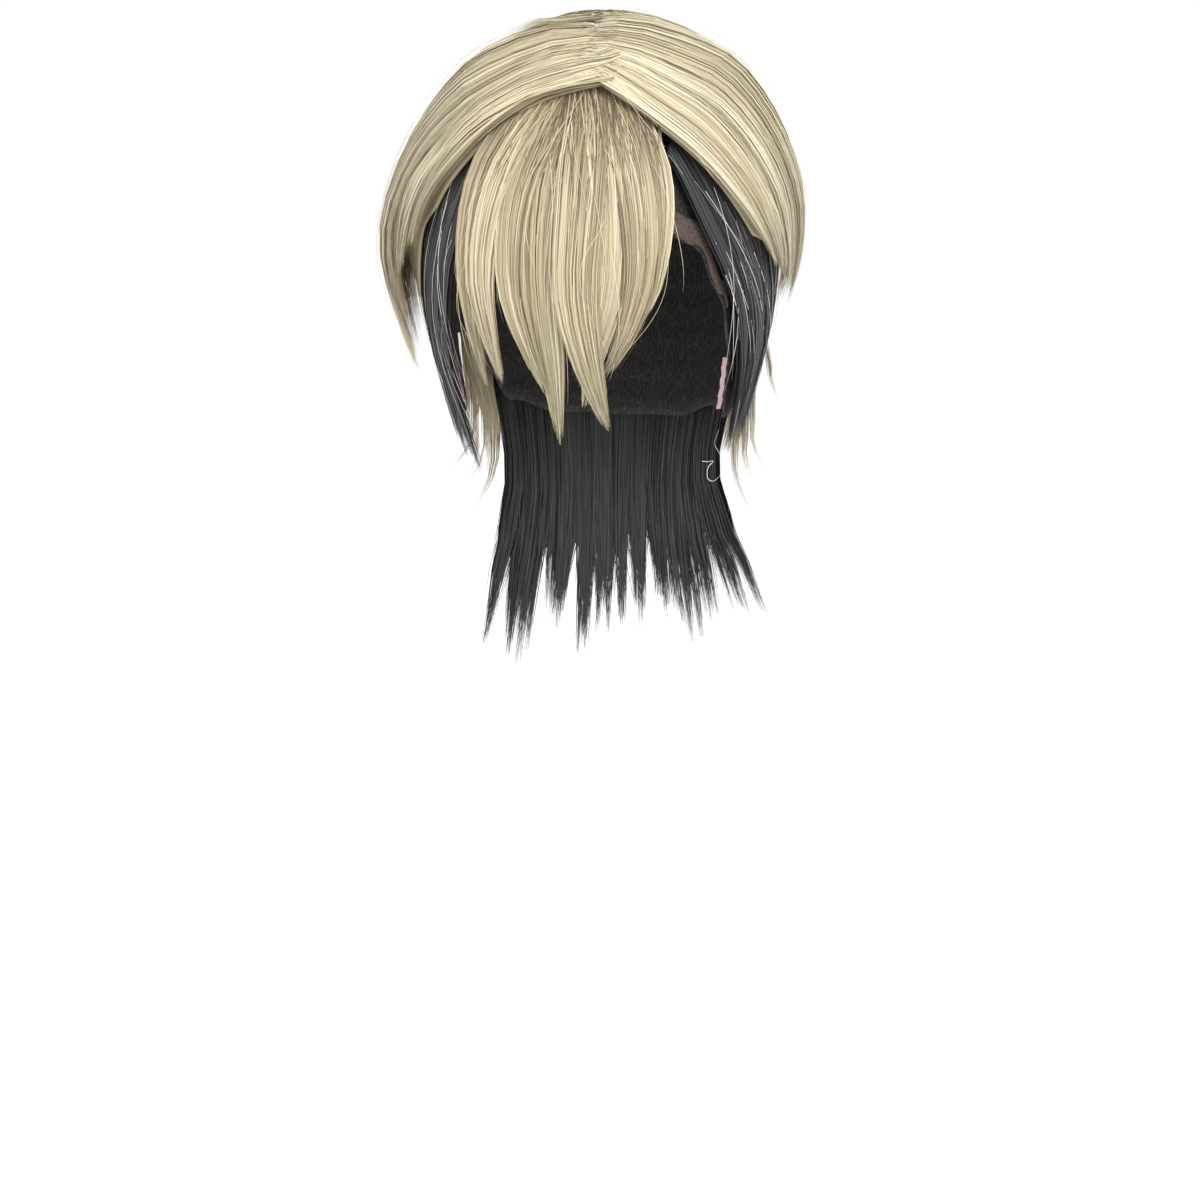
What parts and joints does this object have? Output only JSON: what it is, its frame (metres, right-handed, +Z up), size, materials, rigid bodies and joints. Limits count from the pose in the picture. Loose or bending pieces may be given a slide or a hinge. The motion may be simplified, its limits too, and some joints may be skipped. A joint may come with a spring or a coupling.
{
  "type": "cosplay wig",
  "caption": "Layered two-tone synthetic wig with a net cap, parted pale crown and fringe, dark temple layers and a long dark nape, in its worn form.",
  "frame": {"origin": "crown of the head inside the cap, where the cap seats on it", "axes": "+Z up, the wearer faces -Y, +X is the wearer's left"},
  "size_m": [0.2028, 0.2262, 0.3458],
  "materials": {
    "pale_hair": "pale ash-blond synthetic fibre, satin, in fine parallel strands",
    "dark_hair": "soft black synthetic fibre, satin, with a few silver stray hairs",
    "cap_net": "dark elastic net with sewn weft rows",
    "lace_band": "dark brown fine lace band",
    "tab_trim": "pale pink soft elastic trim"
  },
  "bodies": {
    "root": {"wig_cap": "cap_net", "hairline_band": "lace_band", "ear_tab_trim_left": "tab_trim", "ear_tab_trim_right": "tab_trim", "side_layer_left": "dark_hair", "side_layer_right": "dark_hair", "fringe": "pale_hair", "crown_layer_left": "pale_hair", "crown_layer_right": "pale_hair", "back_layer": "pale_hair", "nape_curtain": "dark_hair"}
  },
  "joints": []
}
